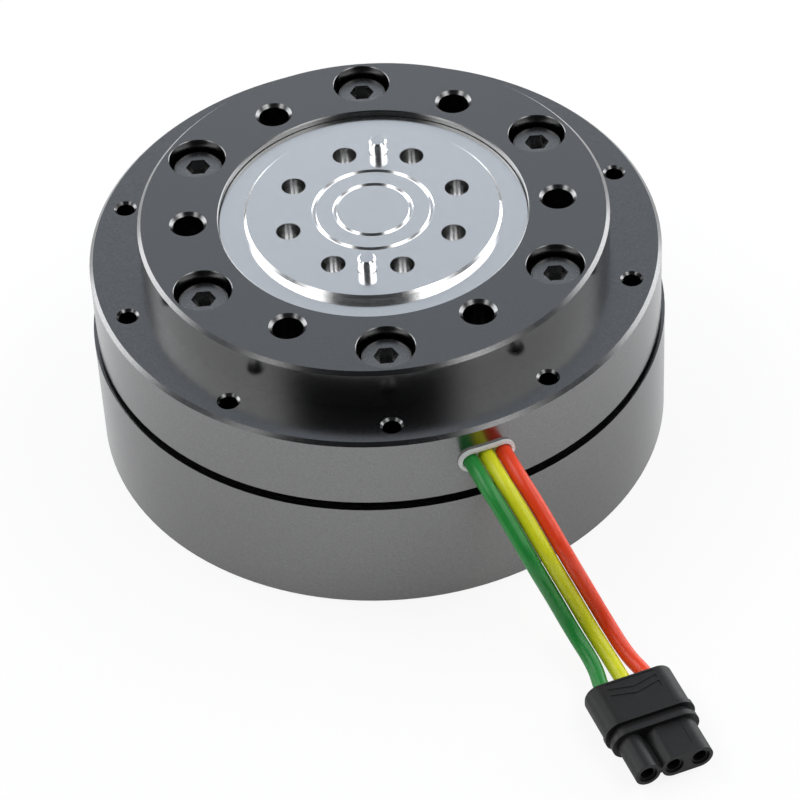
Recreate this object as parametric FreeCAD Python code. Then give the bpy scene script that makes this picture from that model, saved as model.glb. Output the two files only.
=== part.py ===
import FreeCAD, Part
import math
import os

# Cycloidal gear motor: a flat brushless motor with a two-disc cycloidal reducer on top of it.
# Millimetres. The origin is on the output axis in the base plane, and +Z points out of the output.
# The frame's X axis runs through one of the six threaded holes of the boss.

# Clearances
seat_gap = 0.01
thread_gap = 0.02
running_gap = 0.04
screw_play = 0.2
cover_screw_play = 0.05
motor_air_gap = 0.4
bearing_side_gap = 0.2
disc_side_gap = 0.3
recess_gap = 0.07

# Reducer
ring_pin_count = 24
ring_pin_circle = 22.0
ring_pin_radius = 1.4
ring_body_wall = 11.8
ring_bore_allowance = 0.15
eccentricity = 0.7
disc_thickness = 3.2
disc_edge_points = 12
cover_thickness = 1.2
cover_bore_radius = 11.0
drive_pin_count = 8
disc_web = 1.48
drive_pin_radius = 1.5
drive_pin_seat = 4.6
drive_roller_radius = 2.6
first_drive_pin_angle = 82.97
eccentric_radius = 5.5
needle_radius = 1.0
needle_count = 10
needle_rim = 0.2
cage_wall = 0.9

# Case
case_wall = 6.16
case_wall_height = 10.9
shell_step = 0.5
shell_height = 18.0
shell_wall = 5.5
boss_wall = 11.8
bearing_cover_depth = 2.8
edge_chamfer = 0.5
recess_chamfer = 0.15
base_chamfer = 0.2
gasket_thickness = 1.0
gasket_inset = 1.4
gasket_lip = 0.2
floor_thickness = 2.5
stator_ledge_width = 2.0
stator_ledge_z = 5.2
bearing_boss_wall = 2.2
rear_bearing_ledge = 1.6

# Output flange and its crossed roller bearing
output_rise = 0.17
output_disc_inset = 3.05
output_disc_chamfer = 0.35
output_disc_step = 1.12
output_rim_overhang = 0.45
output_rim_thickness = 0.8
output_rim_chamfer = 0.05
journal_wall = 1.1
output_bearing_section = 6.0
output_bearing_width = 6.0
inner_ring_ledge = 1.8
crossed_roller_count = 24
crossed_roller_radius = 1.45
crossed_roller_end_gap = 0.08
ring_parting = 0.3
bearing_lip_width = 1.2
bearing_lip_thickness = 0.7
clip_thickness = 0.8
clip_depth = 0.7
clip_height = 1.6
clip_opening = 30.0
cap_radius = 8.2
cap_thickness = 1.47
cap_chamfer = 0.3
cap_groove_radius = 5.3
cap_groove_width = 0.6
cap_groove_depth = 0.3
centre_bore_radius = 5.5

# Output interface
output_hole_count = 8
output_hole_inset = 5.6
output_hole_radius = 1.7
output_hole_depth = 7.2
first_output_hole_angle = 105.47
dowel_radius = 1.25
dowel_shank_radius = 1.0
dowel_shank_length = 4.3
dowel_height = 2.15
dowel_chamfer = 0.25
dowel_hole_chamfer = 0.35

# Case interfaces
boss_hole_count = 6
boss_hole_inset = 7.1
boss_hole_radius = 2.15
boss_hole_chamfer = 0.45
boss_hole_depth = 8.0
flange_hole_count = 10
flange_hole_shift = 0.15
flange_hole_radius = 1.25
flange_hole_chamfer = 0.33
flange_hole_depth = 6.5
first_flange_hole_angle = 18.0

# Cap screws that hold the front housing to the ring gear
case_thread_radius = 2.0
case_screw_length = 10.0
case_head_radius = 3.5
case_head_height = 4.0
case_socket_width = 3.0
case_socket_depth = 2.0
case_screw_count = 6
case_screw_inset = 5.04
first_case_screw_angle = 30.0
case_screw_sink = 5.6
case_bore_radius = 4.0
case_bore_chamfer = 0.08
case_thread_spare = 0.2
head_fillet = 0.4

# Long screws that hold the rear shell
rear_thread_radius = 1.25
rear_screw_length = 20.0
rear_head_radius = 2.25
rear_head_height = 2.5
rear_socket_width = 2.0
rear_socket_depth = 1.2
rear_screw_count = 6
rear_screw_inset = 3.0
rear_screw_sink = 0.2
rear_thread_spare = 0.5

# Flat head screws of the reducer's cover
cover_thread_radius = 1.25
cover_head_radius = 2.3
cover_screw_length = 5.0
cover_screw_count = 6
cover_screw_inset = 6.3
cover_socket_width = 1.5
cover_socket_depth = 0.7

# Shaft bearings
front_bearing_bore = 4.0
front_bearing_radius = 7.0
front_bearing_width = 4.0
front_ball_radius = 0.9
rear_bearing_bore = 4.0
rear_bearing_radius = 8.0
rear_bearing_width = 5.0
rear_ball_radius = 1.1
ball_count = 8
bearing_parting = 0.5
ball_cage_wall = 0.5
ball_cage_margin = 0.4

# Shaft and rotor
hub_seat_radius = 5.0
shaft_shoulder_radius = 6.0
shaft_shoulder_height = 2.5
shaft_neck_radius = 4.6
shaft_end_chamfer = 0.3
hub_sleeve_wall = 2.5
hub_web_thickness = 2.0
hub_web_lift = 0.6
hub_hole_count = 6
hub_hole_radius = 2.6
yoke_thickness = 2.5
magnet_thickness = 2.2
magnet_count = 14
magnet_span = 22.0
magnet_edge = 0.2

# Stator
stator_height = 7.6
stator_depth = 8.4
tooth_count = 12
tooth_width = 4.0
shoe_thickness = 1.2
shoe_span = 25.0
back_iron_thickness = 3.1
coil_gap = 0.1
coil_side = 3.0
coil_end = 2.0
coil_corner = 1.6
coil_shoe_gap = 0.3
coil_back_gap = 0.56

# Cable exit: three leads side by side at one angle of the case
exit_angle = 288.0
exit_lift = 5.6
wire_radius = 1.075
wire_pitch = 2.35
wire_hole_gap = 0.03
grommet_side = 0.625
grommet_over = 0.775
grommet_rim = 0.25
grommet_lip = 0.45
grommet_web_inset = 0.3
channel_side_gap = 0.175
channel_notch = 3.9
channel_wall = 2.4
channel_top_gap = 0.125
lead_side_gap = 0.2
lead_bend_radius = 4.0

# Free wires: the middle wire's chosen points between the case wall and the plug, and the half spread there.
# Each row is the way out from the case wall, the way sideways, the height, and the spread.
wire_points_between = [
    (9.19, 1.11, 22.0, 2.35),
    (14.84, 2.69, 17.23, 2.35),
    (15.14, 5.23, 10.38, 2.35),
    (17.44, 7.07, 5.17, 2.4),
    (22.55, 8.05, 2.9, 2.36),
    (26.3, 8.2, 2.6, 3.25),
]
wire_straight = 5.0
wire_arc_share = 0.45

# Plug: it lies on the floor at the end of the wires and points straight out from the case
plug_out = 28.4
plug_across = 8.2
plug_wire_pitch = 3.25
plug_pin_pitch = 3.75
sheath_length = 6.7
sheath_side = 2.55
sheath_half_height = 2.45
sheath_flat = 0.25
sheath_wall = 0.8
sheath_rear_wall = 1.0
sheath_rear_fillet = 0.4
collar_length = 0.8
collar_rim = 0.15
neck_length = 1.0
neck_inset = 0.45
nose_collar_length = 0.8
nose_collar_inset = 0.05
nose_length = 5.75
lobe_radius = 1.8
lobe_bridge = 0.87
tail_length = 3.1
tail_gap = 0.1
socket_radius = 0.95
socket_bore_radius = 0.7
socket_rim_radius = 1.3
socket_rim_depth = 0.35
socket_inset = 2.0
panel_length = 3.2
panel_half_width = 3.5
panel_depth = 0.08
panel_offset = 0.5
chevron_width = 0.6
chevron_rise = 0.8
chevron_margin = 0.3
chevron_pitch = 1.15
nose_panel_start = 0.1
nose_panel_length = 4.5
nose_panel_width = 2.7
nose_panel_inset = 0.5
nose_panel_depth = 0.05

# Radii and circles that follow, from the eccentrics out to the boss
lobe_count = ring_pin_count - 1
disc_bore_radius = eccentric_radius + 2 * needle_radius + 2 * running_gap
disc_hole_radius = drive_roller_radius + eccentricity + running_gap
drive_pin_circle = disc_bore_radius + disc_web + disc_hole_radius
output_bearing_bore = drive_pin_circle + drive_pin_radius + journal_wall
output_bearing_radius = output_bearing_bore + output_bearing_section
bearing_lip_radius = output_bearing_radius - bearing_lip_width
output_disc_radius = output_bearing_radius - output_disc_inset
output_hole_circle = output_disc_radius - output_hole_inset
output_rim_radius = output_bearing_radius + output_rim_overhang
recess_radius = output_rim_radius + recess_gap
boss_radius = output_bearing_radius + boss_wall
boss_hole_circle = boss_radius - boss_hole_inset
case_screw_circle = boss_radius - case_screw_inset

# And from the ring pins out to the case and in to the rotor
ring_body_radius = ring_pin_circle + ring_body_wall
case_inner_radius = ring_body_radius + running_gap
case_radius = case_inner_radius + case_wall
cover_screw_circle = ring_body_radius - cover_screw_inset
flange_hole_circle = (case_radius + boss_radius) / 2 + flange_hole_shift
shell_radius = case_radius + shell_step
shell_bore_radius = shell_radius - shell_wall
rear_screw_circle = shell_radius - rear_screw_inset
stator_ledge_radius = shell_bore_radius - stator_ledge_width
stator_bore_radius = shell_bore_radius - stator_depth
stator_outer_radius = shell_bore_radius - running_gap
back_iron_radius = stator_outer_radius - back_iron_thickness
coil_inner_radius = stator_bore_radius + shoe_thickness + coil_shoe_gap
coil_outer_radius = back_iron_radius - coil_back_gap
yoke_radius = stator_bore_radius - motor_air_gap - magnet_thickness
hub_radius = yoke_radius - yoke_thickness
hub_sleeve_radius = hub_seat_radius + hub_sleeve_wall
hub_hole_circle = (hub_sleeve_radius + hub_radius) / 2
channel_inner_radius = ring_body_radius - channel_notch
channel_outer_radius = case_radius - channel_wall
lead_radius = channel_inner_radius + wire_radius + lead_side_gap

# Levels, from the base up
case_floor_z = shell_height + gasket_thickness
flange_z = case_floor_z + case_wall_height
rear_disc_z = case_floor_z + disc_side_gap
front_disc_z = rear_disc_z + disc_thickness + disc_side_gap
discs_top_z = front_disc_z + disc_thickness
flange_foot_z = discs_top_z + bearing_side_gap
ring_body_top_z = flange_foot_z + disc_side_gap
output_bearing_z = ring_body_top_z + bearing_lip_thickness
output_bearing_top_z = output_bearing_z + output_bearing_width
boss_z = output_bearing_top_z + bearing_cover_depth
output_z = boss_z + output_rise
output_rim_z = output_z - output_disc_step
cap_z = output_z - cap_thickness
front_bearing_z = flange_foot_z + bearing_side_gap
front_bearing_top_z = front_bearing_z + front_bearing_width
rear_bearing_z = floor_thickness + disc_side_gap + bearing_side_gap
rear_bearing_top_z = rear_bearing_z + rear_bearing_width
cover_z = case_floor_z - cover_thickness
shoulder_z = case_floor_z - shaft_shoulder_height
screw_head_z = boss_z - case_screw_sink
rear_head_top_z = rear_screw_sink + rear_head_height
rear_screw_tip_z = rear_head_top_z + rear_screw_length
stator_top_z = stator_ledge_z + stator_height
coil_top_z = stator_top_z + coil_gap + coil_end
exit_height = case_floor_z + exit_lift
channel_top_z = exit_height + wire_radius + channel_top_gap

# Half sizes that follow, at the grommet and the plug
grommet_half_width = wire_pitch + wire_radius + grommet_side
grommet_half_height = wire_radius + grommet_over
channel_width = 2 * (wire_pitch + wire_radius + channel_side_gap)
sheath_half_width = plug_pin_pitch + sheath_side
collar_half_width = sheath_half_width + collar_rim
collar_half_height = sheath_half_height + collar_rim
neck_half_width = sheath_half_width - neck_inset
neck_half_height = sheath_half_height - neck_inset
nose_collar_half_width = sheath_half_width - nose_collar_inset
nose_collar_half_height = sheath_half_height - nose_collar_inset
plug_axis_z = collar_half_height

# Angles of the patterns


def spaced(count, first=0.0):
    """Equally spaced angles all round."""
    return [first + i * 360.0 / count for i in range(count)]


ring_pin_angles = spaced(ring_pin_count)
boss_hole_angles = spaced(boss_hole_count)
flange_hole_angles = spaced(flange_hole_count, first_flange_hole_angle)
case_screw_angles = spaced(case_screw_count, first_case_screw_angle)
rear_screw_angles = spaced(rear_screw_count)
cover_screw_angles = spaced(cover_screw_count)
output_hole_angles = spaced(output_hole_count, first_output_hole_angle)
drive_pin_angles = spaced(drive_pin_count, first_drive_pin_angle)
dowel_angles = spaced(2, first_drive_pin_angle)
tooth_angles = spaced(tooth_count, exit_angle)

Z = FreeCAD.Vector(0, 0, 1)


# Plain shapes

def vec(x, y, z):
    return FreeCAD.Vector(x, y, z)


def polar(radius, angle, z=0.0):
    turn = math.radians(angle)
    return vec(radius * math.cos(turn), radius * math.sin(turn), z)


def rod(radius, z_low, z_high, at=(0.0, 0.0)):
    return Part.makeCylinder(radius, z_high - z_low, vec(at[0], at[1], z_low))


def tube(inner, outer, z_low, z_high):
    return rod(outer, z_low, z_high).cut(rod(inner, z_low, z_high))


def turned(profile):
    """A solid of revolution about Z from a list of (radius, z) points."""
    points = [vec(r, 0, z) for r, z in profile]
    return Part.Face(Part.makePolygon(points + points[:1])).revolve(vec(0, 0, 0), Z, 360)


def sector(inner, outer, z_low, z_high, angle, span):
    """A piece of a ring, centred on an angle."""
    height = z_high - z_low
    whole = Part.makeCylinder(outer, height, vec(0, 0, z_low), Z, span)
    piece = whole.cut(rod(inner, z_low, z_high))
    piece.rotate(vec(0, 0, 0), Z, angle - span / 2)
    return piece


def turned_to(shape, angle):
    copy = shape.copy()
    copy.rotate(vec(0, 0, 0), Z, angle)
    return copy


def moved_by(shape, x, y, z):
    copy = shape.copy()
    copy.translate(vec(x, y, z))
    return copy


def on_circle(shape, radius, angles):
    """Copies of a shape, moved out to a circle without being turned."""
    return [moved_by(shape, *polar(radius, angle)) for angle in angles]


def around(shape, angles):
    """Copies of a shape, turned about Z."""
    return [turned_to(shape, angle) for angle in angles]


def hole(radius, z_top, depth, chamfer=0.0):
    """A round cutter that goes down from z_top, with a chamfer at its mouth."""
    cutter = rod(radius, z_top - depth, z_top)
    if chamfer > 0:
        mouth = Part.makeCone(radius, radius + chamfer, chamfer, vec(0, 0, z_top - chamfer))
        cutter = cutter.fuse(mouth)
    return cutter


def hexagon(width, z_low, z_high):
    corner = width / math.sqrt(3)
    points = [polar(corner, 60 * i, z_low) for i in range(7)]
    return Part.Face(Part.makePolygon(points)).extrude(vec(0, 0, z_high - z_low))


def group(shapes):
    return Part.makeCompound(shapes)


def oblong(half_width, half_height, x_low, x_high, corner=None):
    """A bar along X whose section has rounded corners, or round ends if no corner radius is given."""
    radius = min(half_width, half_height) if corner is None else corner
    middle = [(y, z) for y in (-1, 1) for z in (-1, 1)]
    bars = []
    for y, z in middle:
        at = vec(x_low, y * (half_width - radius), z * (half_height - radius))
        bars.append(Part.makeCylinder(radius, x_high - x_low, at, vec(1, 0, 0)))
    flat_y, flat_z = half_width - radius, half_height - radius
    wide = Part.makeBox(x_high - x_low, 2 * flat_y, 2 * half_height, vec(x_low, -flat_y, -half_height))
    solid = bars[0].multiFuse(bars[1:] + [wide])
    if flat_z > 0:
        tall = Part.makeBox(x_high - x_low, 2 * half_width, 2 * flat_z, vec(x_low, -half_width, -flat_z))
        solid = solid.fuse(tall)
    return solid.removeSplitter()


# Fasteners

def cap_screw(radius, length, head_radius, head_height, width, depth):
    """A socket head screw that points down, with the underside of its head at z = 0."""
    head = rod(head_radius, 0, head_height)
    rim = [e for e in head.Edges if e.BoundBox.ZMin > head_height / 2]
    head = head.makeFillet(min(head_fillet, head_height / 4), rim[:1])
    head = head.cut(hexagon(width, head_height - depth, head_height))
    return head.fuse(rod(radius, -length, 0))


def countersunk_screw():
    """A flat head screw that points up, with the top of its head at z = 0."""
    sink = cover_head_radius - cover_thread_radius
    head = Part.makeCone(cover_head_radius, cover_thread_radius, sink)
    screw = head.fuse(rod(cover_thread_radius, sink, cover_screw_length))
    return screw.cut(hexagon(cover_socket_width, 0, cover_socket_depth))


# Reducer

def cycloid_point(t):
    """A point of the outline of a cycloid disc that rolls inside the ring pins, around the disc's centre."""
    pins = ring_pin_count
    reach = ring_pin_radius + running_gap
    lean = math.atan2(
        math.sin((1 - pins) * t), ring_pin_circle / (eccentricity * pins) - math.cos((1 - pins) * t)
    )
    x = ring_pin_circle * math.cos(t) - reach * math.cos(t + lean) - eccentricity * math.cos(pins * t)
    y = reach * math.sin(t + lean) + eccentricity * math.sin(pins * t) - ring_pin_circle * math.sin(t)
    return vec(x, y, 0)


def cycloid_edge():
    """The whole outline: one lobe from valley to valley, and its copies all round."""
    lobe_angle = 2 * math.pi / lobe_count
    points = [cycloid_point(lobe_angle * i / disc_edge_points) for i in range(disc_edge_points + 1)]
    curve = Part.BSplineCurve()
    curve.interpolate(
        Points=points, InitialTangent=polar(1, -90), FinalTangent=polar(1, -90 - 360.0 / lobe_count)
    )
    lobe = curve.toShape()
    return Part.Wire([turned_to(lobe, -i * 360.0 / lobe_count) for i in range(lobe_count)])


def cycloid_disc(side, z_low):
    """One disc. side is 1 for the front disc, and -1 for the rear one, half a turn ahead."""
    disc = Part.Face(cycloid_edge()).extrude(vec(0, 0, disc_thickness))
    if side < 0:
        disc = turned_to(disc, 180)
    cutters = [rod(disc_bore_radius, 0, disc_thickness)]
    cutters += on_circle(rod(disc_hole_radius, 0, disc_thickness), drive_pin_circle, drive_pin_angles)
    disc = disc.cut(cutters)
    return moved_by(disc, side * eccentricity, 0, z_low)


def needle_set(side, z_low):
    """The needle rollers of an eccentric, and the cage that spaces them."""
    pitch = eccentric_radius + running_gap + needle_radius
    angles = spaced(needle_count)
    margin = running_gap + needle_rim
    low, high = z_low + running_gap, z_low + disc_thickness - running_gap
    needle = rod(needle_radius, z_low + margin + running_gap, z_low + disc_thickness - margin - running_gap)
    needles = on_circle(needle, pitch, angles)
    cage = tube(pitch - cage_wall / 2, pitch + cage_wall / 2, low, high)
    pocket_half = needle_radius + running_gap
    pocket = Part.makeBox(
        4 * needle_radius, 2 * pocket_half, disc_thickness - 2 * margin,
        vec(pitch - 2 * needle_radius, -pocket_half, z_low + margin)
    )
    cage = cage.cut(around(pocket, angles))
    centre = side * eccentricity
    return moved_by(group(needles), centre, 0, 0), moved_by(cage, centre, 0, 0)


def lead_channel(z_low, z_high):
    """The cutter for the shaft through which the motor leads climb to the exit."""
    box = Part.makeBox(
        channel_outer_radius - channel_inner_radius, channel_width, z_high - z_low,
        vec(channel_inner_radius, -channel_width / 2, z_low)
    )
    return turned_to(box, exit_angle)


def ring_gear_body():
    bore = ring_pin_circle + ring_bore_allowance
    body = tube(bore, ring_body_radius, case_floor_z, ring_body_top_z)
    seat = rod(ring_pin_radius + seat_gap, case_floor_z, ring_body_top_z)
    thread_depth = ring_body_top_z - screw_head_z + case_screw_length + case_thread_spare
    thread = hole(case_thread_radius + thread_gap, ring_body_top_z, thread_depth)
    cover_thread_top = cover_z + cover_screw_length + case_thread_spare
    cover_thread = rod(cover_thread_radius + thread_gap, case_floor_z, cover_thread_top)
    cutters = on_circle(seat, ring_pin_circle, ring_pin_angles)
    cutters += on_circle(thread, case_screw_circle, case_screw_angles)
    cutters += on_circle(cover_thread, cover_screw_circle, cover_screw_angles)
    cutters.append(lead_channel(case_floor_z, ring_body_top_z))
    return body.cut(cutters)


def ring_pins():
    pin = rod(ring_pin_radius, case_floor_z, ring_body_top_z)
    return group(on_circle(pin, ring_pin_circle, ring_pin_angles))


def reducer_cover():
    plate = tube(cover_bore_radius, ring_body_radius, cover_z, case_floor_z)
    wide = cover_head_radius + cover_screw_play
    narrow = cover_thread_radius + cover_screw_play
    head = Part.makeCone(wide, narrow, cover_head_radius - cover_thread_radius, vec(0, 0, cover_z))
    cutter = head.fuse(rod(narrow, cover_z, case_floor_z))
    cutters = on_circle(cutter, cover_screw_circle, cover_screw_angles)
    cutters.append(lead_channel(cover_z, case_floor_z))
    return plate.cut(cutters)


def cover_screws():
    screw = moved_by(countersunk_screw(), 0, 0, cover_z)
    return group(on_circle(screw, cover_screw_circle, cover_screw_angles))


# Case

def front_housing():
    """The boss, the flange and the wall of the upper case, in one piece."""
    c = edge_chamfer
    r = recess_chamfer
    seat = output_bearing_radius + seat_gap
    body = turned([
        (case_radius, case_floor_z), (case_radius, flange_z - c), (case_radius - c, flange_z),
        (boss_radius, flange_z), (boss_radius, boss_z - c), (boss_radius - c, boss_z),
        (recess_radius + r, boss_z), (recess_radius, boss_z - r), (recess_radius, output_bearing_top_z),
        (seat, output_bearing_top_z), (seat, output_bearing_z), (bearing_lip_radius, output_bearing_z),
        (bearing_lip_radius, ring_body_top_z), (case_inner_radius, ring_body_top_z),
        (case_inner_radius, case_floor_z),
    ])
    screw_way = hole(case_bore_radius, boss_z, case_screw_sink, case_bore_chamfer)
    shank_way = hole(case_thread_radius + screw_play, screw_head_z, screw_head_z - ring_body_top_z)
    boss_hole = hole(boss_hole_radius, boss_z, boss_hole_depth, boss_hole_chamfer)
    flange_hole = hole(flange_hole_radius, flange_z, flange_hole_depth, flange_hole_chamfer)
    rear_thread = rod(rear_thread_radius + thread_gap, case_floor_z, rear_screw_tip_z + rear_thread_spare)
    window = oblong(
        grommet_half_width - grommet_rim, grommet_half_height - grommet_rim,
        channel_outer_radius - running_gap, case_radius + grommet_lip
    )
    cutters = on_circle(screw_way.fuse(shank_way), case_screw_circle, case_screw_angles)
    cutters += on_circle(boss_hole, boss_hole_circle, boss_hole_angles)
    cutters += on_circle(flange_hole, flange_hole_circle, flange_hole_angles)
    cutters += on_circle(rear_thread, rear_screw_circle, rear_screw_angles)
    cutters.append(lead_channel(case_floor_z, channel_top_z))
    cutters.append(at_exit(moved_by(window, 0, 0, exit_height)))
    return body.cut(cutters)


def joint_gasket():
    ring = tube(shell_bore_radius + gasket_lip, shell_radius - gasket_inset, shell_height, case_floor_z)
    way = rod(rear_thread_radius + screw_play, shell_height, case_floor_z)
    return ring.cut(on_circle(way, rear_screw_circle, rear_screw_angles))


def rear_shell():
    """The cup that holds the motor, with the seat of the rear bearing in its floor."""
    seat = rear_bearing_radius + seat_gap
    boss = rear_bearing_radius + bearing_boss_wall
    relief = rear_bearing_radius - rear_bearing_ledge
    body = turned([
        (0, 0), (shell_radius - base_chamfer, 0), (shell_radius, base_chamfer), (shell_radius, shell_height),
        (shell_bore_radius, shell_height), (shell_bore_radius, stator_ledge_z),
        (stator_ledge_radius, stator_ledge_z), (stator_ledge_radius, floor_thickness),
        (boss, floor_thickness), (boss, rear_bearing_top_z), (seat, rear_bearing_top_z),
        (seat, rear_bearing_z), (relief, rear_bearing_z), (relief, rear_bearing_z - disc_side_gap),
        (0, rear_bearing_z - disc_side_gap),
    ])
    way = rod(rear_head_radius + screw_play, 0, rear_head_top_z)
    way = way.fuse(rod(rear_thread_radius + screw_play, 0, shell_height))
    return body.cut(on_circle(way, rear_screw_circle, rear_screw_angles))


def case_screws():
    screw = cap_screw(
        case_thread_radius, case_screw_length, case_head_radius, case_head_height,
        case_socket_width, case_socket_depth
    )
    return group(on_circle(moved_by(screw, 0, 0, screw_head_z), case_screw_circle, case_screw_angles))


def rear_screws():
    screw = cap_screw(
        rear_thread_radius, rear_screw_length, rear_head_radius, rear_head_height,
        rear_socket_width, rear_socket_depth
    )
    screw.rotate(vec(0, 0, 0), vec(1, 0, 0), 180)
    return group(on_circle(moved_by(screw, 0, 0, rear_head_top_z), rear_screw_circle, rear_screw_angles))


# Bearings

def ball_bearing(bore, outer, width, ball, z_low):
    """Inner ring, outer ring, balls and cage of a deep groove bearing."""
    pitch = (bore + outer) / 2
    middle = z_low + width / 2
    groove = Part.makeTorus(pitch, ball + running_gap, vec(0, 0, middle))
    inner_ring = tube(bore, pitch - bearing_parting, z_low, z_low + width).cut(groove)
    outer_ring = tube(pitch + bearing_parting, outer, z_low, z_low + width).cut(groove)
    angles = spaced(ball_count)
    sphere = Part.makeSphere(ball, vec(0, 0, middle))
    balls = group(on_circle(sphere, pitch, angles))
    half = ball + ball_cage_margin
    cage = tube(pitch - ball_cage_wall / 2, pitch + ball_cage_wall / 2, middle - half, middle + half)
    pocket = Part.makeCylinder(
        ball + running_gap, 4 * ball, vec(pitch - 2 * ball, 0, middle), vec(1, 0, 0)
    )
    return inner_ring, outer_ring, balls, cage.cut(around(pocket, angles))


def crossed_bearing():
    """Inner ring, outer ring and rollers of the output bearing. Every second roller leans the other way."""
    pitch = (output_bearing_bore + output_bearing_radius) / 2
    middle = output_bearing_z + output_bearing_width / 2
    half_diagonal = (crossed_roller_radius + running_gap) * math.sqrt(2)
    groove = turned([
        (pitch - half_diagonal, middle), (pitch, middle - half_diagonal),
        (pitch + half_diagonal, middle), (pitch, middle + half_diagonal),
    ])
    bore = output_bearing_bore + seat_gap
    inner = tube(bore, pitch - ring_parting / 2, output_bearing_z, output_bearing_top_z)
    outer = tube(pitch + ring_parting / 2, output_bearing_radius, output_bearing_z, output_bearing_top_z)
    half_length = crossed_roller_radius - crossed_roller_end_gap
    rollers = []
    for i, angle in enumerate(spaced(crossed_roller_count)):
        roller = rod(crossed_roller_radius, -half_length, half_length)
        roller.rotate(vec(0, 0, 0), vec(0, 1, 0), 45 if i % 2 else -45)
        roller.translate(vec(pitch, 0, middle))
        rollers.append(turned_to(roller, angle))
    return inner.cut(groove), outer.cut(groove), group(rollers)


# Output

def output_flange():
    """The turned flange: raised disc, sunk rim over the bearing, journal, bearing seat and pin holes."""
    journal = output_bearing_bore
    shoulder = output_bearing_bore + inner_ring_ledge
    clip_top = output_bearing_z
    clip_foot = clip_top - clip_thickness
    rim_foot = output_rim_z - output_rim_thickness
    seat = front_bearing_radius + seat_gap
    c = cap_chamfer
    r = output_rim_chamfer
    body = turned([
        (cap_radius, cap_z), (cap_radius, output_z - c), (cap_radius + c, output_z),
        (output_disc_radius - output_disc_chamfer, output_z),
        (output_disc_radius, output_z - output_disc_chamfer), (output_disc_radius, output_rim_z),
        (output_rim_radius - r, output_rim_z), (output_rim_radius, output_rim_z - r),
        (output_rim_radius, rim_foot), (shoulder, rim_foot), (shoulder, output_bearing_top_z),
        (journal, output_bearing_top_z), (journal, clip_top), (journal - clip_depth, clip_top),
        (journal - clip_depth, clip_foot), (journal, clip_foot), (journal, flange_foot_z),
        (seat, flange_foot_z), (seat, front_bearing_top_z), (centre_bore_radius, front_bearing_top_z),
        (centre_bore_radius, cap_z),
    ])
    output_hole = hole(output_hole_radius, output_z, output_hole_depth)
    dowel_hole = hole(dowel_shank_radius + seat_gap, output_z, dowel_shank_length, dowel_hole_chamfer)
    pin_hole = rod(drive_pin_radius + seat_gap, flange_foot_z, flange_foot_z + drive_pin_seat)
    cutters = on_circle(output_hole, output_hole_circle, output_hole_angles)
    cutters += on_circle(dowel_hole, output_hole_circle, dowel_angles)
    cutters += on_circle(pin_hole, drive_pin_circle, drive_pin_angles)
    return body.cut(cutters)


def centre_cap():
    radius = cap_radius - seat_gap
    inner = cap_groove_radius - cap_groove_width / 2
    outer = cap_groove_radius + cap_groove_width / 2
    return turned([
        (0, cap_z), (radius, cap_z), (radius, output_z - cap_chamfer), (radius - cap_chamfer, output_z),
        (outer, output_z), (cap_groove_radius, output_z - cap_groove_depth), (inner, output_z), (0, output_z),
    ])


def dowel_pins():
    """Stepped dowels: the shank fills its hole, and a coned shoulder in the hole's mouth leads to the head."""
    top = output_z + dowel_height
    low = output_z - dowel_shank_length
    shoulder = output_z - (dowel_radius - dowel_shank_radius)
    c = dowel_chamfer
    pin = turned([
        (0, low), (dowel_shank_radius, low), (dowel_shank_radius, shoulder), (dowel_radius, output_z),
        (dowel_radius, top - c), (dowel_radius - c, top), (0, top),
    ])
    return group(on_circle(pin, output_hole_circle, dowel_angles))


def drive_pins():
    low = rear_disc_z - running_gap
    pin = rod(drive_pin_radius, low, flange_foot_z + drive_pin_seat)
    return group(on_circle(pin, drive_pin_circle, drive_pin_angles))


def drive_rollers():
    roller = tube(drive_pin_radius + running_gap, drive_roller_radius, rear_disc_z, discs_top_z)
    return group(on_circle(roller, drive_pin_circle, drive_pin_angles))


def bearing_clip():
    groove = output_bearing_bore - clip_depth + seat_gap
    low = output_bearing_z - clip_thickness + seat_gap
    return sector(groove, groove + clip_height, low, output_bearing_z - seat_gap, 0, 360 - clip_opening)


# Rotor

def eccentric_shaft():
    """Rear journal, hub seat, shoulder, the two eccentrics half a turn apart, and front journal."""
    rear = rear_bearing_bore - seat_gap
    front = front_bearing_bore - seat_gap
    foot = rear_bearing_z
    top = front_bearing_top_z - shaft_end_chamfer
    c = shaft_end_chamfer
    body = turned([
        (0, foot), (rear - c, foot), (rear, foot + c), (rear, rear_bearing_top_z),
        (hub_seat_radius, rear_bearing_top_z), (hub_seat_radius, shoulder_z),
        (shaft_shoulder_radius, shoulder_z), (shaft_shoulder_radius, case_floor_z),
        (shaft_neck_radius - eccentricity, case_floor_z), (shaft_neck_radius - eccentricity, discs_top_z),
        (shaft_neck_radius, discs_top_z), (shaft_neck_radius, front_bearing_z), (front, front_bearing_z),
        (front, top - c), (front - c, top), (0, top),
    ])
    rear_eccentric = rod(eccentric_radius, case_floor_z, rear_disc_z + disc_thickness, (-eccentricity, 0))
    front_eccentric = rod(eccentric_radius, front_disc_z, discs_top_z, (eccentricity, 0))
    return body.multiFuse([rear_eccentric, front_eccentric])


def rotor_hub():
    """The sleeve on the shaft and the web that carries the yoke, with lightening holes."""
    low = rear_bearing_top_z
    bore = hub_seat_radius + seat_gap
    web = low + hub_web_lift
    body = turned([
        (bore, low), (hub_sleeve_radius, low), (hub_sleeve_radius, web), (hub_radius, web),
        (hub_radius, web + hub_web_thickness), (hub_sleeve_radius, web + hub_web_thickness),
        (hub_sleeve_radius, shoulder_z), (bore, shoulder_z),
    ])
    lightening = rod(hub_hole_radius, web, web + hub_web_thickness)
    return body.cut(on_circle(lightening, hub_hole_circle, spaced(hub_hole_count)))


def rotor_yoke():
    return tube(hub_radius + seat_gap, yoke_radius, stator_ledge_z, stator_top_z)


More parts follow.
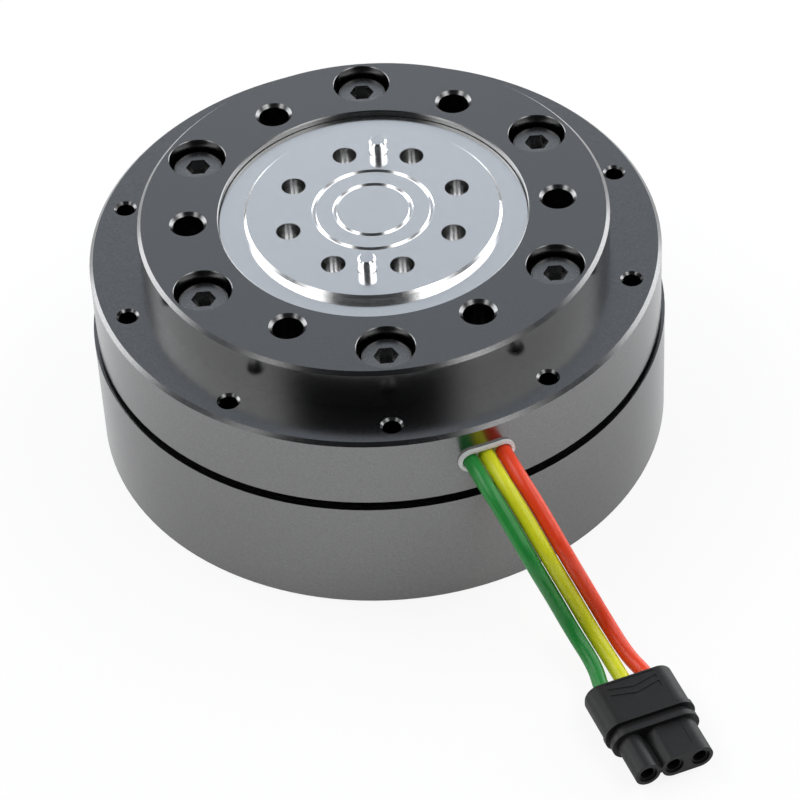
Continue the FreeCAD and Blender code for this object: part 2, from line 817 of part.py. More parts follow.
def rotor_magnets():
    low, high = stator_ledge_z + magnet_edge, stator_top_z - magnet_edge
    magnet = sector(yoke_radius + seat_gap, yoke_radius + magnet_thickness, low, high, 0, magnet_span)
    return group(around(magnet, spaced(magnet_count)))


# Stator

def stator_core():
    core = tube(back_iron_radius, stator_outer_radius, stator_ledge_z, stator_top_z)
    foot = stator_bore_radius + shoe_thickness / 2
    root = back_iron_radius + back_iron_thickness / 2
    tooth = Part.makeBox(root - foot, tooth_width, stator_height, vec(foot, -tooth_width / 2, stator_ledge_z))
    shoe = sector(
        stator_bore_radius, stator_bore_radius + shoe_thickness, stator_ledge_z, stator_top_z, 0, shoe_span
    )
    return core.multiFuse(around(tooth, tooth_angles) + around(shoe, tooth_angles))


def stator_coils():
    """A racetrack coil round each tooth."""
    length = coil_outer_radius - coil_inner_radius
    half_hole = tooth_width / 2 + coil_gap
    half_width = half_hole + coil_side
    low = stator_ledge_z - coil_gap - coil_end
    outer = Part.makeBox(length, 2 * half_width, coil_top_z - low, vec(coil_inner_radius, -half_width, low))
    long_edges = [e for e in outer.Edges if abs(e.Length - length) < seat_gap]
    outer = outer.makeFillet(coil_corner, long_edges)
    inner = Part.makeBox(
        length, 2 * half_hole, stator_height + 2 * coil_gap,
        vec(coil_inner_radius, -half_hole, stator_ledge_z - coil_gap)
    )
    return group(around(outer.cut(inner), tooth_angles))


# Cable exit

def at_exit(shape):
    """Turn a shape that was made along +X to the angle of the cable exit."""
    return turned_to(shape, exit_angle)


def cable_grommet():
    """An oblong bush through the wall, with a lip outside and a sunk web that has a hole for each wire."""
    half_width, half_height = grommet_half_width, grommet_half_height
    wall = grommet_rim + seat_gap
    far = case_radius + 2 * grommet_lip
    web_x = case_radius - grommet_web_inset
    lip = oblong(half_width, half_height, channel_outer_radius, far)
    lip = lip.common(tube(case_radius + seat_gap, case_radius + grommet_lip, -half_height, half_height))
    body = oblong(half_width - wall, half_height - wall, channel_outer_radius, case_radius + grommet_lip / 2)
    mouth = oblong(half_width - 2 * grommet_rim, half_height - 2 * grommet_rim, web_x, far)
    way = wire_radius + wire_hole_gap
    ways = [along_x(way, channel_outer_radius, web_x, y * wire_pitch) for y in (-1, 0, 1)]
    return at_exit(moved_by(lip.fuse(body).cut([mouth] + ways), 0, 0, exit_height))


def phase_leads():
    """The three leads inside the case, from the top of the nearest coil to the exit."""
    bend = lead_bend_radius
    half_turn = math.radians(45)
    leads = []
    for side in (-1, 0, 1):
        y = side * wire_pitch
        foot = vec(lead_radius, y, coil_top_z)
        low = vec(lead_radius, y, exit_height - bend)
        middle = vec(
            lead_radius + bend * (1 - math.cos(half_turn)), y, exit_height - bend + bend * math.sin(half_turn)
        )
        high = vec(lead_radius + bend, y, exit_height)
        end = vec(case_radius, y, exit_height)
        path = Part.Wire([
            Part.LineSegment(foot, low).toShape(), Part.Arc(low, middle, high).toShape(),
            Part.LineSegment(high, end).toShape(),
        ])
        section = Part.Face(Part.Wire([Part.makeCircle(wire_radius, foot, Z)]))
        leads.append(path.makePipe(section))
    return at_exit(group(leads))


def wire_rows():
    """The middle wire's route: straight out of the grommet, the chosen points, and straight into the plug."""
    start = [(0, 0, exit_height, wire_pitch), (wire_straight, 0, exit_height, wire_pitch)]
    return start + wire_points_between + [(plug_out, plug_across, plug_axis_z, plug_wire_pitch)]


def wire_points(side):
    """The route of one wire, in the frame of the exit."""
    return [vec(case_radius + out, across + side * spread, z) for out, across, z, spread in wire_rows()]


def free_wire(name, side):
    """A tube of straight runs joined by tangent arcs, each as large as its two runs allow."""
    points = wire_points(side)
    edges = []
    radii = []
    start = points[0]
    for before, corner, after in zip(points, points[1:], points[2:]):
        back, ahead = before - corner, after - corner
        half_turn = (math.pi - back.getAngle(ahead)) / 2
        reach = wire_arc_share * min(back.Length, ahead.Length)
        radius = reach / math.tan(half_turn)
        radii.append(round(radius / (2 * wire_radius), 1))
        back, ahead = vec(*back).normalize(), vec(*ahead).normalize()
        inward = (back + ahead).normalize()
        enter, leave = corner + back * reach, corner + ahead * reach
        middle = corner + inward * (radius / math.cos(half_turn) - radius)
        edges += [Part.LineSegment(start, enter).toShape(), Part.Arc(enter, middle, leave).toShape()]
        start = leave
    edges.append(Part.LineSegment(start, points[-1]).toShape())
    path = Part.Wire(edges)
    section = Part.Face(Part.Wire([Part.makeCircle(wire_radius, points[0], points[1] - points[0])]))
    wire = path.makePipe(section)
    share = wire.Volume / (math.pi * wire_radius ** 2 * path.Length)
    print(name, "length", round(path.Length, 2), "bend radii in diameters", radii)
    print(name, "volume as a share of the swept path", round(share, 4))
    return at_exit(wire)


# Plug

def at_plug(shape):
    """Move a shape from the plug's own frame, with its rear at x = 0, to the end of the wires."""
    rear = case_radius + plug_out - sheath_rear_wall
    return at_exit(moved_by(shape, rear, plug_across, plug_axis_z))


def plug_levels():
    """Where the plug's sections begin along its length, and its tip."""
    collar = sheath_length
    neck = collar + collar_length
    nose_collar = neck + neck_length
    nose = nose_collar + nose_collar_length
    return collar, neck, nose_collar, nose, nose + nose_length


def pin_offsets():
    return [side * plug_pin_pitch for side in (-1, 0, 1)]


def along_x(radius, x_low, x_high, y):
    return Part.makeCylinder(radius, x_high - x_low, vec(x_low, y, 0), vec(1, 0, 0))


def plug_sheath():
    """The rear cap of the plug: an oblong shell with a collar, three wire holes and a grip panel."""
    collar, neck = plug_levels()[:2]
    corner = sheath_half_height - sheath_flat
    outer = oblong(sheath_half_width, sheath_half_height, 0, collar, corner)
    rear = [e for e in outer.Edges if e.BoundBox.XMax < sheath_rear_fillet]
    outer = outer.makeFillet(sheath_rear_fillet, rear)
    outer = outer.fuse(oblong(collar_half_width, collar_half_height, collar, neck, corner))
    hollow = oblong(
        sheath_half_width - sheath_wall, sheath_half_height - sheath_wall, sheath_rear_wall, neck
    )
    way = wire_radius + wire_hole_gap
    ways = [along_x(way, 0, sheath_rear_wall, side * plug_wire_pitch) for side in (-1, 0, 1)]
    return at_plug(outer.cut([hollow] + ways + [grip_panel()]))


def grip_panel():
    """The sunk field on top of the sheath, less the two raised chevrons in it."""
    low = sheath_half_height - panel_depth
    y = panel_half_width
    field = Part.makeBox(panel_length, 2 * y, 2 * panel_depth, vec(panel_offset, -y, low))
    ridges = []
    for start in (chevron_margin, chevron_margin + chevron_pitch):
        x = panel_offset + start
        tip = x + chevron_rise
        outline = [
            (x, -y), (tip, 0), (x, y), (x + chevron_width, y), (tip + chevron_width, 0),
            (x + chevron_width, -y), (x, -y),
        ]
        face = Part.Face(Part.makePolygon([vec(px, py, low) for px, py in outline]))
        ridges.append(face.extrude(vec(0, 0, 2 * panel_depth)))
    return field.cut(ridges)


def plug_housing():
    """The front of the plug: a tail inside the sheath, a neck, a collar and the three-lobed nose."""
    collar, neck, nose_collar, nose, tip = plug_levels()
    length = tip - nose
    left, middle, right = pin_offsets()
    solid = oblong(
        sheath_half_width - sheath_wall - tail_gap, sheath_half_height - sheath_wall - tail_gap,
        neck - tail_length, neck
    )
    solid = solid.multiFuse([
        oblong(neck_half_width, neck_half_height, neck, nose_collar),
        oblong(nose_collar_half_width, nose_collar_half_height, nose_collar, nose),
        along_x(lobe_radius, nose, tip, middle), along_x(lobe_radius, nose, tip, right),
        Part.makeBox(length, right - middle, 2 * lobe_radius, vec(nose, middle, -lobe_radius)),
        Part.makeBox(length, middle - left, lobe_bridge, vec(nose, left, -lobe_bridge / 2)),
        along_x(lobe_radius, nose, tip, left),
    ])
    panel = Part.makeBox(
        nose_panel_length, nose_panel_width, 2 * nose_panel_depth,
        vec(nose + nose_panel_start, nose_panel_inset, lobe_radius - nose_panel_depth)
    )
    ways = [along_x(socket_radius + seat_gap, neck - tail_length, tip, y) for y in pin_offsets()]
    ways += [along_x(socket_rim_radius, tip - socket_rim_depth, tip, y) for y in pin_offsets()]
    return at_plug(solid.removeSplitter().cut(ways + [panel]))


def plug_sockets():
    """The contact tubes. Each is solid up to the plug's neck, where its bore starts."""
    neck, tip = plug_levels()[1], plug_levels()[-1]
    sockets = []
    for y in pin_offsets():
        outside = along_x(socket_radius, sheath_rear_wall, tip - socket_inset, y)
        sockets.append(outside.cut(along_x(socket_bore_radius, neck, tip, y)))
    return at_plug(group(sockets))


# All nodes

front_inner, front_outer, front_balls, front_cage = ball_bearing(
    front_bearing_bore, front_bearing_radius, front_bearing_width, front_ball_radius, front_bearing_z
)
rear_inner, rear_outer, rear_balls, rear_cage = ball_bearing(
    rear_bearing_bore, rear_bearing_radius, rear_bearing_width, rear_ball_radius, rear_bearing_z
)
output_inner, output_outer, crossed_rollers = crossed_bearing()
front_needles, front_needle_cage = needle_set(1, front_disc_z)
rear_needles, rear_needle_cage = needle_set(-1, rear_disc_z)

nodes = {
    "front_housing": front_housing(),
    "rear_shell": rear_shell(),
    "joint_gasket": joint_gasket(),
    "case_screws": case_screws(),
    "rear_screws": rear_screws(),
    "ring_gear_body": ring_gear_body(),
    "ring_pins": ring_pins(),
    "reducer_cover": reducer_cover(),
    "cover_screws": cover_screws(),
    "output_bearing_outer_ring": output_outer,
    "output_bearing_inner_ring": output_inner,
    "output_bearing_rollers": crossed_rollers,
    "output_flange": output_flange(),
    "centre_cap": centre_cap(),
    "dowel_pins": dowel_pins(),
    "drive_pins": drive_pins(),
    "drive_rollers": drive_rollers(),
    "bearing_clip": bearing_clip(),
    "cycloid_disc_front": cycloid_disc(1, front_disc_z),
    "cycloid_disc_rear": cycloid_disc(-1, rear_disc_z),
    "needle_rollers_front": front_needles,
    "needle_cage_front": front_needle_cage,
    "needle_rollers_rear": rear_needles,
    "needle_cage_rear": rear_needle_cage,
    "eccentric_shaft": eccentric_shaft(),
    "front_bearing_inner_ring": front_inner,
    "front_bearing_outer_ring": front_outer,
    "front_bearing_balls": front_balls,
    "front_bearing_cage": front_cage,
    "rear_bearing_inner_ring": rear_inner,
    "rear_bearing_outer_ring": rear_outer,
    "rear_bearing_balls": rear_balls,
    "rear_bearing_cage": rear_cage,
    "rotor_hub": rotor_hub(),
    "rotor_yoke": rotor_yoke(),
    "rotor_magnets": rotor_magnets(),
    "stator_core": stator_core(),
    "stator_coils": stator_coils(),
    "cable_grommet": cable_grommet(),
    "phase_leads": phase_leads(),
    "wire_green": free_wire("wire_green", -1),
    "wire_yellow": free_wire("wire_yellow", 0),
    "wire_red": free_wire("wire_red", 1),
    "plug_sheath": plug_sheath(),
    "plug_housing": plug_housing(),
    "plug_sockets": plug_sockets(),
}

os.makedirs("parts", exist_ok=True)
for name, shape in nodes.items():
    shape.exportStep("parts/" + name + ".step")
    print(name, len(shape.Solids), round(shape.Volume, 1), shape.isValid())
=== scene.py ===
import math

import bpy
from mathutils import Matrix, Vector


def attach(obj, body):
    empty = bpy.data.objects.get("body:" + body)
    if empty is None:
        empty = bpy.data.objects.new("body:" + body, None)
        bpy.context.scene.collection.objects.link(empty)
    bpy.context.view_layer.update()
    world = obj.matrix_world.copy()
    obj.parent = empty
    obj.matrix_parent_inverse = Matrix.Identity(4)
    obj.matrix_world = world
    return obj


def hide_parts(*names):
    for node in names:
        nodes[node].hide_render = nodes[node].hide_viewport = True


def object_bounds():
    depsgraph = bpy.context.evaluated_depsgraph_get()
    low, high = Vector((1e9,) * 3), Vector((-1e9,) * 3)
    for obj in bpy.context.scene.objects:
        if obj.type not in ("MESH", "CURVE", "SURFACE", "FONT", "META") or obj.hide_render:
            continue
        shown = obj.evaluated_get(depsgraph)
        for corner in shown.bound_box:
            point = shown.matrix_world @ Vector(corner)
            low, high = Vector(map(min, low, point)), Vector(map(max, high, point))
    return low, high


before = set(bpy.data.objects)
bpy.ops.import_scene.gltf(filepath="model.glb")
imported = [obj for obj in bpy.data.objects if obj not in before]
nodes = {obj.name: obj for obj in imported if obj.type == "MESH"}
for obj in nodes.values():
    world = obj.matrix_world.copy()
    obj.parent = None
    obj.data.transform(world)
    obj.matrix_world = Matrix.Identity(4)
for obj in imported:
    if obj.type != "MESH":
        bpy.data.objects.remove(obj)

cad_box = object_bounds()
MM = 0.001

# Camera: the photograph's view, fitted to the rims and holes of the boss and the flange
CAMERA_AZIMUTH = -1.56
CAMERA_ELEVATION = 44.024
CAMERA_ROLL = -3.209
CAMERA_DISTANCE = 0.517456
CAMERA_SHIFT_RIGHT = 0.002262
CAMERA_SHIFT_UP = -0.026467
CAMERA_LENS = 168.05
CAMERA_SENSOR = 36.0
BOSS_TOP = 0.036

# Cables: the middle wire's route and the half spread at each point, in metres, from the case wall
EXIT_ANGLE = 288.0
CASE_RADIUS = 0.040
WIRE_DIAMETER = 0.00215
WIRE_ROUTE = [
    (0.0, 0.0, 0.0246, 0.00235),
    (0.0050, 0.0, 0.0246, 0.00235),
    (0.00919, 0.00111, 0.0220, 0.00235),
    (0.01484, 0.00269, 0.01723, 0.00235),
    (0.01514, 0.00523, 0.01038, 0.00235),
    (0.01744, 0.00707, 0.00517, 0.0024),
    (0.02255, 0.00805, 0.0029, 0.00236),
    (0.0263, 0.0082, 0.0026, 0.00325),
    (0.0284, 0.0082, 0.0026, 0.00325),
]
WIRES = [("wire_green", -1, 0.0417), ("wire_yellow", 0, 0.0416), ("wire_red", 1, 0.0418)]

# Room: its colour, the azimuth and elevation of its dark side, and two angles from there with the
# level within the first and beyond the second
ROOM_COLOUR = (0.826, 0.898, 1.0, 1)
ROOM_DARK_SIDE = (-90, 42)
ROOM_LEVELS = (25, 125, 0.04, 0.635)
WHITE = (1, 1, 1, 1)

# Lights of the room, each an azimuth, its level, the half widths between which it fades, and the
# elevations between which it rises and between which it falls
PANELS = [
    (172, 3.1, (32, 58), (33, 47), (62, 76)),
    (-6, 2.8, (32, 62), (33, 47), (62, 76)),
    (131, 2.9, (2, 62), (-20, -10), (17, 38)),
    (49, 2.9, (2, 62), (-20, -10), (17, 38)),
]

# Floor: its width and its gap below the part in metres, its colour, and the share of plain white in
# what the camera and what a reflection see of it
FLOOR_WIDTH = 8
FLOOR_GAP = 0.00002
FLOOR_COLOUR = (0.90, 0.90, 0.90, 1)
FLOOR_SEEN = 0.88
FLOOR_REFLECTED = 0.29

# The stretch of a noise's values that its ramps spread out
NOISE_SPREAD = (0.3, 0.7)


# Camera

def add_camera():
    tilt = math.radians(CAMERA_ELEVATION)
    roll = math.radians(CAMERA_ROLL)
    forward = Vector((0, math.cos(tilt), -math.sin(tilt)))
    right = Vector((1, 0, 0))
    up = Vector((0, math.sin(tilt), math.cos(tilt)))
    place = -CAMERA_DISTANCE * forward + CAMERA_SHIFT_RIGHT * right + CAMERA_SHIFT_UP * up
    across = math.cos(roll) * right + math.sin(roll) * up
    above = -math.sin(roll) * right + math.cos(roll) * up
    turn = Matrix.Rotation(math.radians(CAMERA_AZIMUTH), 4, "Z")
    axes = Matrix((across, above, -forward)).transposed().to_4x4()
    camera = bpy.data.objects.new("camera", bpy.data.cameras.new("camera"))
    camera.data.sensor_fit = "HORIZONTAL"
    camera.data.sensor_width = CAMERA_SENSOR
    camera.data.lens = CAMERA_LENS
    camera.data.clip_start = 0.01
    camera.matrix_world = Matrix.Translation((0, 0, BOSS_TOP)) @ turn @ Matrix.Translation(place) @ axes
    bpy.context.scene.collection.objects.link(camera)
    bpy.context.scene.camera = camera


# Wires

def wire_points(side):
    turn = math.radians(EXIT_ANGLE)
    points = []
    for out, across, height, spread in WIRE_ROUTE:
        x, y = CASE_RADIUS + out, across + side * spread
        points.append((
            x * math.cos(turn) - y * math.sin(turn), x * math.sin(turn) + y * math.cos(turn), height
        ))
    return points


def add_wire(name, side):
    points = wire_points(side)
    curve = bpy.data.curves.new(name + "_lead", "CURVE")
    curve.dimensions = "3D"
    curve.resolution_u = 24
    curve.bevel_depth = WIRE_DIAMETER / 2
    curve.bevel_resolution = 7
    curve.use_fill_caps = True
    spline = curve.splines.new("NURBS")
    spline.points.add(len(points) - 1)
    for point, place in zip(spline.points, points):
        point.co = (*place, 1)
    spline.order_u = 3
    spline.use_endpoint_u = True
    wire = bpy.data.objects.new(name + "_lead", curve)
    bpy.context.scene.collection.objects.link(wire)
    wire.data.materials.append(insulation(name))
    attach(wire, "housing")
    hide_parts(name)


# Materials

class Surface:
    """A principled material in object space, with helpers that add fine detail. Sizes are in mm."""

    def __init__(self, name, colour, metallic, roughness, **sockets):
        self.material = bpy.data.materials.new(name)
        self.material.use_nodes = True
        self.tree = self.material.node_tree
        self.shader = self.tree.nodes["Principled BSDF"]
        self.shader.inputs["Base Color"].default_value = (*colour, 1)
        self.shader.inputs["Metallic"].default_value = metallic
        self.shader.inputs["Roughness"].default_value = roughness
        for socket, value in sockets.items():
            self.shader.inputs[socket.replace("_", " ")].default_value = value
        self.colour = colour
        self.place = self.tree.nodes.new("ShaderNodeTexCoord").outputs["Object"]

    def node(self, kind, **values):
        node = self.tree.nodes.new(kind)
        for name, value in values.items():
            setattr(node, name, value)
        return node

    def noise(self, size, detail=2.0, stretch=(1, 1, 1)):
        mapping = self.node("ShaderNodeMapping")
        mapping.inputs["Scale"].default_value = [s / (size * MM) for s in stretch]
        noise = self.node("ShaderNodeTexNoise")
        noise.inputs["Scale"].default_value = 1.0
        noise.inputs["Detail"].default_value = detail
        self.tree.links.new(self.place, mapping.inputs["Vector"])
        self.tree.links.new(mapping.outputs[0], noise.inputs["Vector"])
        return noise.outputs["Fac"]

    def rings(self, pitch):
        """Fine concentric tool marks about the object's axis."""
        flat = self.node("ShaderNodeVectorMath", operation="MULTIPLY")
        flat.inputs[1].default_value = (1, 1, 0)
        radius = self.node("ShaderNodeVectorMath", operation="LENGTH")
        self.tree.links.new(self.place, flat.inputs[0])
        self.tree.links.new(flat.outputs[0], radius.inputs[0])
        return self.wave(radius.outputs["Value"], pitch)

    def layers(self, pitch):
        """Level lines up the height, such as stacked sheets or turns of wire."""
        split = self.node("ShaderNodeSeparateXYZ")
        self.tree.links.new(self.place, split.inputs[0])
        return self.wave(split.outputs["Z"], pitch)

    def wave(self, along, pitch):
        """An even rise and fall along one measure, such as a radius or a height."""
        scaled = self.node("ShaderNodeMath", operation="MULTIPLY")
        scaled.inputs[1].default_value = 2 * math.pi / (pitch * MM)
        wave = self.node("ShaderNodeMath", operation="SINE")
        self.tree.links.new(along, scaled.inputs[0])
        self.tree.links.new(scaled.outputs[0], wave.inputs[0])
        return wave.outputs[0]

    def bump(self, height, depth):
        bump = self.node("ShaderNodeBump")
        bump.inputs["Distance"].default_value = depth * MM
        self.tree.links.new(height, bump.inputs["Height"])
        self.tree.links.new(bump.outputs["Normal"], self.shader.inputs["Normal"])
        return self

    def vary_roughness(self, size, low, high):
        spread = self.node("ShaderNodeMapRange")
        spread.inputs["From Min"].default_value = NOISE_SPREAD[0]
        spread.inputs["From Max"].default_value = NOISE_SPREAD[1]
        spread.inputs["To Min"].default_value = low
        spread.inputs["To Max"].default_value = high
        self.tree.links.new(self.noise(size), spread.inputs["Value"])
        self.tree.links.new(spread.outputs["Result"], self.shader.inputs["Roughness"])
        return self

    def vary_colour(self, size, amount):
        """Mottling about the base colour, by a share of it."""
        ramp = self.node("ShaderNodeValToRGB")
        ramp.color_ramp.elements[0].position = NOISE_SPREAD[0]
        ramp.color_ramp.elements[1].position = NOISE_SPREAD[1]
        ramp.color_ramp.elements[0].color = (*[c * (1 - amount) for c in self.colour], 1)
        ramp.color_ramp.elements[1].color = (*[min(1, c * (1 + amount)) for c in self.colour], 1)
        self.tree.links.new(self.noise(size), ramp.inputs["Fac"])
        self.tree.links.new(ramp.outputs["Color"], self.shader.inputs["Base Color"])
        return self


def anodised_case():
    """Dark hard-anodised aluminium, blasted before anodising."""
    surface = Surface("anodised_case", (0.21, 0.21, 0.21), 1.0, 0.19)
    surface.vary_colour(0.2, 0.12).vary_roughness(0.5, 0.17, 0.21)
    surface.bump(surface.noise(0.22), 0.0012)
    return surface.material


def plated_output():
    """Bright plated output flange with a fine satin face."""
    surface = Surface("plated_output", (0.93, 0.93, 0.93), 1.0, 0.18)
    surface.vary_colour(0.2, 0.03).vary_roughness(0.6, 0.15, 0.20)
    surface.bump(surface.noise(0.18), 0.0006)
    return surface.material


def polished_pin():
    surface = Surface("polished_pin", (0.88, 0.89, 0.90), 1.0, 0.17)
    surface.vary_roughness(0.8, 0.14, 0.20)
    return surface.material


def black_screw():
    """Black oxide on steel, a little uneven on the head and in the socket."""
    surface = Surface("black_screw", (0.24, 0.24, 0.24), 1.0, 0.24)
    surface.vary_colour(0.5, 0.06).vary_roughness(0.4, 0.20, 0.28)
    surface.bump(surface.noise(0.3), 0.0005)
    return surface.material


def ground_steel():
    """Bearing rings, rollers and balls."""
    surface = Surface("ground_steel", (0.60, 0.61, 0.62), 1.0, 0.14)
    surface.vary_roughness(1.5, 0.10, 0.18).bump(surface.rings(0.12), 0.0004)
    return surface.material


def gear_steel():
    """Hardened and ground alloy steel, with light tool marks."""
    surface = Surface("gear_steel", (0.40, 0.40, 0.39), 1.0, 0.28)
    surface.vary_colour(3.0, 0.06).bump(surface.noise(0.5, stretch=(1, 1, 6)), 0.003)
    return surface.material


def turned_aluminium():
    surface = Surface("turned_aluminium", (0.62, 0.63, 0.64), 1.0, 0.27)
    surface.vary_roughness(1.2, 0.22, 0.32).bump(surface.rings(0.2), 0.0012)
    return surface.material


def cage_brass():
    surface = Surface("cage_brass", (0.72, 0.50, 0.20), 1.0, 0.25)
    surface.vary_colour(1.5, 0.08).bump(surface.noise(0.4), 0.002)
    return surface.material


def rubber_gasket():
    surface = Surface("rubber_gasket", (0.010, 0.010, 0.010), 0.0, 0.65)
    surface.vary_colour(0.8, 0.2).bump(surface.noise(0.25), 0.01)
    return surface.material


def stacked_lamination():
    surface = Surface("stacked_lamination", (0.23, 0.23, 0.24), 1.0, 0.42)
    surface.vary_colour(2.0, 0.1).bump(surface.layers(0.35), 0.02)
    return surface.material


def enamelled_copper():
    """Coil sides that read as turns of enamelled wire."""
    surface = Surface("enamelled_copper", (0.62, 0.22, 0.07), 1.0, 0.3, Coat_Weight=0.4)
    surface.vary_colour(1.2, 0.15).bump(surface.layers(0.5), 0.12)
    return surface.material


def plated_magnet():
    surface = Surface("plated_magnet", (0.55, 0.54, 0.50), 1.0, 0.3)
    surface.vary_colour(1.0, 0.05).vary_roughness(0.7, 0.25, 0.36)
    return surface.material


def white_silicone():
    surface = Surface("white_silicone", (0.84, 0.84, 0.83), 0.0, 0.38, Subsurface_Weight=0.1)
    surface.shader.inputs["Subsurface Radius"].default_value = (0.0006, 0.0005, 0.0004)
    surface.vary_colour(1.5, 0.02).bump(surface.noise(0.4), 0.004)
    return surface.material


def plug_nylon():
    """Black glass-filled nylon with the fine texture of a spark-eroded mould."""
    surface = Surface("plug_nylon", (0.0100, 0.0101, 0.0103), 0.0, 0.46, Specular_IOR_Level=0.3)
    surface.vary_colour(0.7, 0.10).vary_roughness(0.35, 0.40, 0.52)
    surface.bump(surface.noise(0.16), 0.007)
    return surface.material


def gold_contact():
    surface = Surface("gold_contact", (0.83, 0.60, 0.24), 1.0, 0.18)
    surface.vary_roughness(0.6, 0.13, 0.24)
    return surface.material


def insulation(name):
    """Silicone insulation: matt, very slightly uneven along its length. Made once for each colour."""
    colours = {
        "wire_green": (0.014, 0.225, 0.036),
        "wire_yellow": (0.66, 0.68, 0.012),
        "wire_red": (0.80, 0.052, 0.010),
    }
    made = bpy.data.materials.get(name + "_silicone")
    if made is not None:
        return made
    surface = Surface(name + "_silicone", colours[name], 0.0, 0.34, Specular_IOR_Level=0.4)
    surface.vary_colour(1.1, 0.04).vary_roughness(0.9, 0.30, 0.42)
    surface.bump(surface.noise(0.6), 0.006)
    return surface.material


def dress_nodes():
    """Every piece of the frame gets its finish."""
    finishes = [
        (anodised_case, ["front_housing", "rear_shell"]),
        (plated_output, ["output_flange", "centre_cap"]),
        (polished_pin, ["dowel_pins"]),
        (black_screw, ["case_screws", "rear_screws", "cover_screws", "bearing_clip"]),
        (ground_steel, [n for n in nodes if "bearing" in n and n.endswith(("ring", "balls", "rollers"))]),
        (gear_steel, [
            "ring_pins", "cycloid_disc_front", "cycloid_disc_rear", "eccentric_shaft", "drive_pins",
            "drive_rollers", "needle_rollers_front", "needle_rollers_rear", "rotor_yoke",
        ]),
        (turned_aluminium, ["ring_gear_body", "reducer_cover", "rotor_hub"]),
        (cage_brass, [n for n in nodes if "cage" in n]),
        (rubber_gasket, ["joint_gasket"]),
        (stacked_lamination, ["stator_core"]),
        (enamelled_copper, ["stator_coils"]),
        (plated_magnet, ["rotor_magnets"]),
        (white_silicone, ["cable_grommet"]),
        (plug_nylon, ["plug_sheath", "plug_housing"]),
        (gold_contact, ["plug_sockets"]),
    ]
    for make, names in finishes:
        finish = make()
        for name in names:
            put_on(nodes[name], finish)
    put_on(nodes["phase_leads"], insulation("wire_yellow"))
    for name, _, _ in WIRES:
        put_on(nodes[name], insulation(name))


def put_on(obj, finish):
    """One finish on all of a piece."""
    if not obj.material_slots:
        obj.data.materials.append(finish)
    for slot in obj.material_slots:
        slot.material = finish


# Studio

def add_floor():
    """A pale sweep that reads as white to the camera and keeps a soft shadow."""
    bpy.ops.mesh.primitive_plane_add(size=FLOOR_WIDTH, location=(0, 0, cad_box[0][2] - FLOOR_GAP))
    floor = bpy.context.object
    floor.name = "floor"
    material = bpy.data.materials.new("floor")
    material.use_nodes = True
    tree = material.node_tree
    tree.nodes.clear()
    output = tree.nodes.new("ShaderNodeOutputMaterial")
    mix = tree.nodes.new("ShaderNodeMixShader")
    diffuse = tree.nodes.new("ShaderNodeBsdfDiffuse")
    glow = tree.nodes.new("ShaderNodeEmission")
    rays = tree.nodes.new("ShaderNodeLightPath")
    reflected = tree.nodes.new("ShaderNodeMath")
    share = tree.nodes.new("ShaderNodeMath")
    diffuse.inputs["Color"].default_value = FLOOR_COLOUR
    reflected.operation = "MULTIPLY"
    reflected.inputs[1].default_value = FLOOR_REFLECTED
    share.operation = "MULTIPLY_ADD"
    share.inputs[1].default_value = FLOOR_SEEN
    tree.links.new(rays.outputs["Is Glossy Ray"], reflected.inputs[0])
    tree.links.new(rays.outputs["Is Camera Ray"], share.inputs[0])
    tree.links.new(reflected.outputs[0], share.inputs[2])
    tree.links.new(share.outputs[0], mix.inputs[0])
    tree.links.new(diffuse.outputs[0], mix.inputs[1])
    tree.links.new(glow.outputs[0], mix.inputs[2])
    tree.links.new(mix.outputs[0], output.inputs["Surface"])
    floor.data.materials.append(material)


def direction(azimuth, elevation):
    """A unit vector, with the azimuth in degrees from +X and the elevation above the floor."""
    turn, rise = math.radians(azimuth), math.radians(elevation)
    return Vector((math.cos(turn) * math.cos(rise), math.sin(turn) * math.cos(rise), math.sin(rise)))


def ease(tree, value, start, end, low=0.0, high=1.0):
    """A smooth change from low to high while a value goes from start to end."""
    level = tree.nodes.new("ShaderNodeMapRange")
    level.interpolation_type = "SMOOTHERSTEP"
    level.inputs["From Min"].default_value = start
    level.inputs["From Max"].default_value = end
    level.inputs["To Min"].default_value = low
    level.inputs["To Max"].default_value = high
    tree.links.new(value, level.inputs["Value"])
    return level.outputs["Result"]


def ease_between(tree, cosine, inner, outer, near, far):
    """A smooth change from near within an inner angle to far beyond an outer one."""
    return ease(tree, cosine, math.cos(math.radians(outer)), math.cos(math.radians(inner)), far, near)


def vector_maths(tree, operation, vector, other=None):
    """A vector sum with a fixed second vector, where it has one."""
    node = tree.nodes.new("ShaderNodeVectorMath")
    node.operation = operation
    tree.links.new(vector, node.inputs[0])
    if other is not None:
        node.inputs[1].default_value = other
    return node.outputs["Value" if operation == "DOT_PRODUCT" else "Vector"]


def product(tree, first, second):
    """Two values multiplied."""
    node = tree.nodes.new("ShaderNodeMath")
    node.operation = "MULTIPLY"
    tree.links.new(first, node.inputs[0])
    tree.links.new(second, node.inputs[1])
    return node.outputs[0]


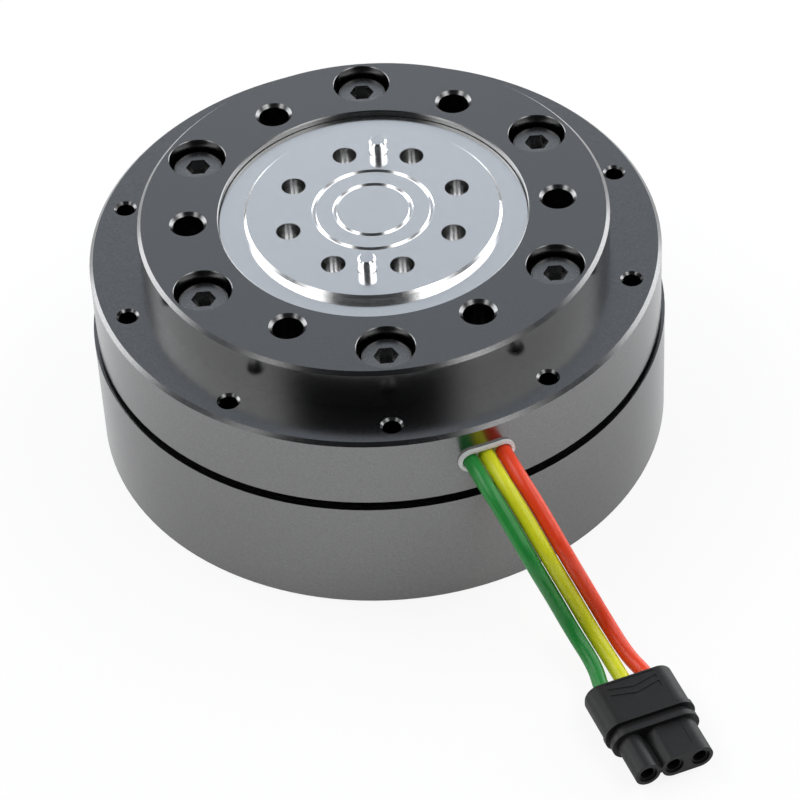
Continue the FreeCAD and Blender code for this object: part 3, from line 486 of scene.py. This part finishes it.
def add_world():
    """A dim cool room with a dark side and pale panels, which the camera itself sees as white."""
    world = bpy.data.worlds.new("studio")
    bpy.context.scene.world = world
    world.use_nodes = True
    tree = world.node_tree
    tree.nodes.clear()
    output = tree.nodes.new("ShaderNodeOutputWorld")
    place = tree.nodes.new("ShaderNodeTexCoord").outputs["Generated"]
    height = vector_maths(tree, "DOT_PRODUCT", place, (0, 0, 1))
    level_place = vector_maths(tree, "NORMALIZE", vector_maths(tree, "MULTIPLY", place, (1, 1, 0)))

    room = tree.nodes.new("ShaderNodeBackground")
    room.inputs["Color"].default_value = ROOM_COLOUR
    front = vector_maths(tree, "DOT_PRODUCT", place, direction(*ROOM_DARK_SIDE))
    tree.links.new(ease_between(tree, front, *ROOM_LEVELS), room.inputs["Strength"])
    lit = room.outputs[0]
    for azimuth, level, widths, foot, top in PANELS:
        rise = ease(tree, height, *[math.sin(math.radians(angle)) for angle in foot])
        fall = ease(tree, height, *[math.sin(math.radians(angle)) for angle in top], 1.0, 0.0)
        side = vector_maths(tree, "DOT_PRODUCT", level_place, direction(azimuth, 0))
        panel = tree.nodes.new("ShaderNodeBackground")
        panel.inputs["Color"].default_value = WHITE
        across = ease_between(tree, side, *widths, level, 0.0)
        tree.links.new(product(tree, product(tree, rise, fall), across), panel.inputs["Strength"])
        both = tree.nodes.new("ShaderNodeAddShader")
        tree.links.new(lit, both.inputs[0])
        tree.links.new(panel.outputs[0], both.inputs[1])
        lit = both.outputs[0]

    white = tree.nodes.new("ShaderNodeBackground")
    white.inputs["Color"].default_value = WHITE
    rays = tree.nodes.new("ShaderNodeLightPath")
    mix = tree.nodes.new("ShaderNodeMixShader")
    tree.links.new(rays.outputs["Is Camera Ray"], mix.inputs[0])
    tree.links.new(lit, mix.inputs[1])
    tree.links.new(white.outputs[0], mix.inputs[2])
    tree.links.new(mix.outputs[0], output.inputs["Surface"])


add_camera()
for wire_name, wire_side, wire_length in WIRES:
    add_wire(wire_name, wire_side)
dress_nodes()
add_floor()
add_world()
bpy.context.scene.view_settings.view_transform = "Standard"
